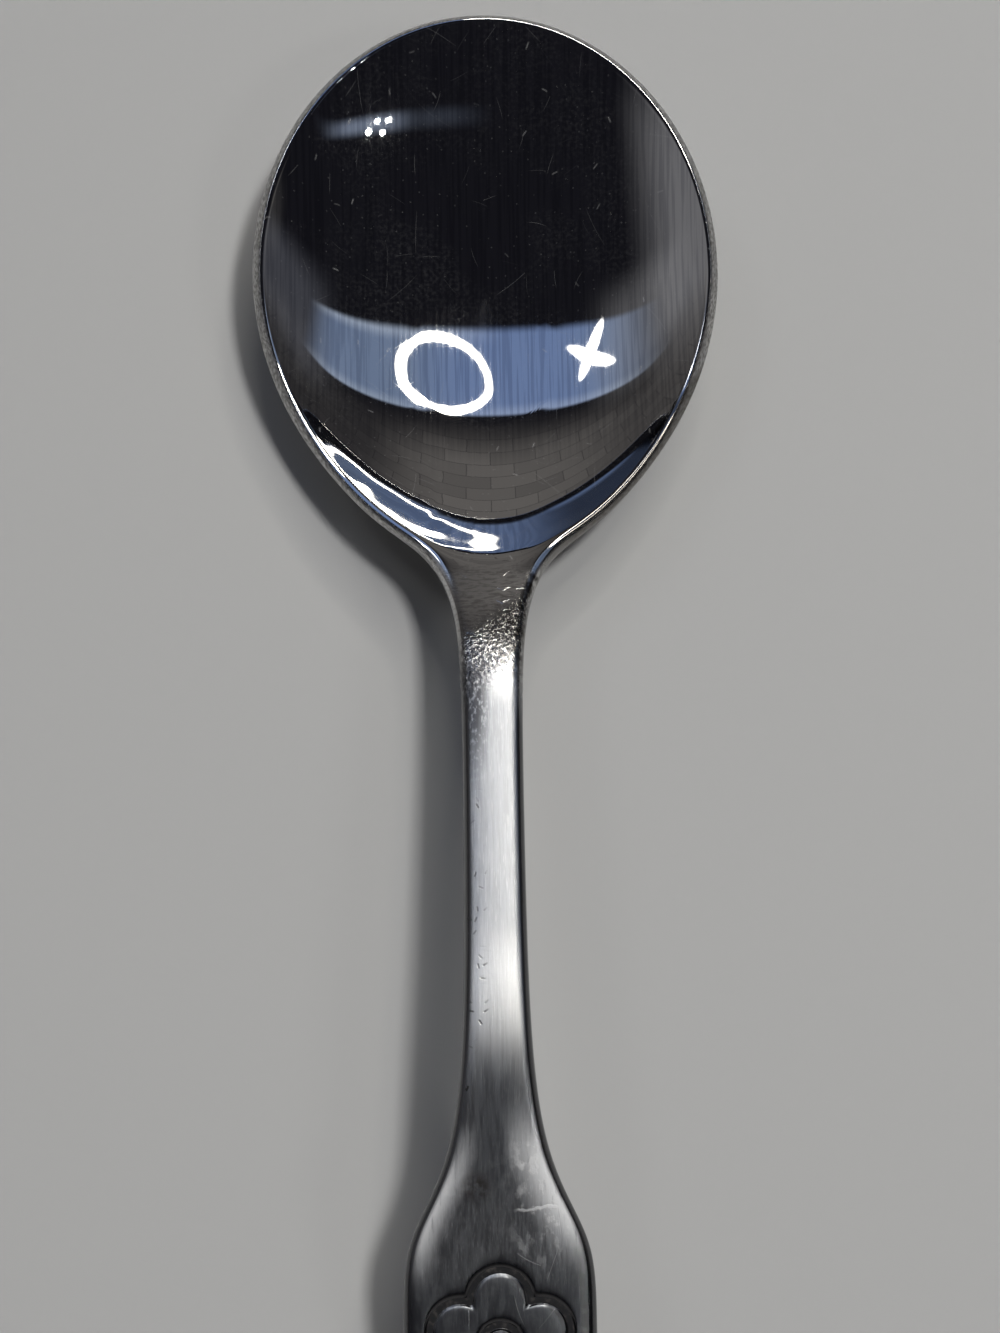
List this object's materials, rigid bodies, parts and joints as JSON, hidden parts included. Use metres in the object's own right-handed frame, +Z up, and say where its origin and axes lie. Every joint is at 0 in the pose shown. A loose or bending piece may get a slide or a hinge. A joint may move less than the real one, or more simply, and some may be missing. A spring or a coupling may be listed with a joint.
{
  "type": "baby spoon",
  "caption": "Small stainless-steel child's spoon with a polished oval bowl, a slim arched stem and a flat paddle handle with a stamped flower, for feeding soft food.",
  "frame": {"origin": "on the table plane, below the middle of the spoon's bounding box", "axes": "+Z up, +Y along the spoon towards the tip of the bowl, X across it"},
  "size_m": [0.036, 0.1219, 0.014],
  "materials": {
    "polished_steel": "mirror polish with fine scratches",
    "neck_steel": "half polish, slightly pebbled, running from mirror to satin",
    "satin_steel": "satin, brushed along the length",
    "handle_steel": "satin, brushed along the length, with smudges and handling scratches",
    "groove_residue": "matt dark residue in the stamped grooves"
  },
  "bodies": {
    "root": {"bowl": "polished_steel", "neck": "neck_steel", "stem": "satin_steel", "handle": "handle_steel", "motif_lines": "groove_residue"}
  },
  "joints": []
}
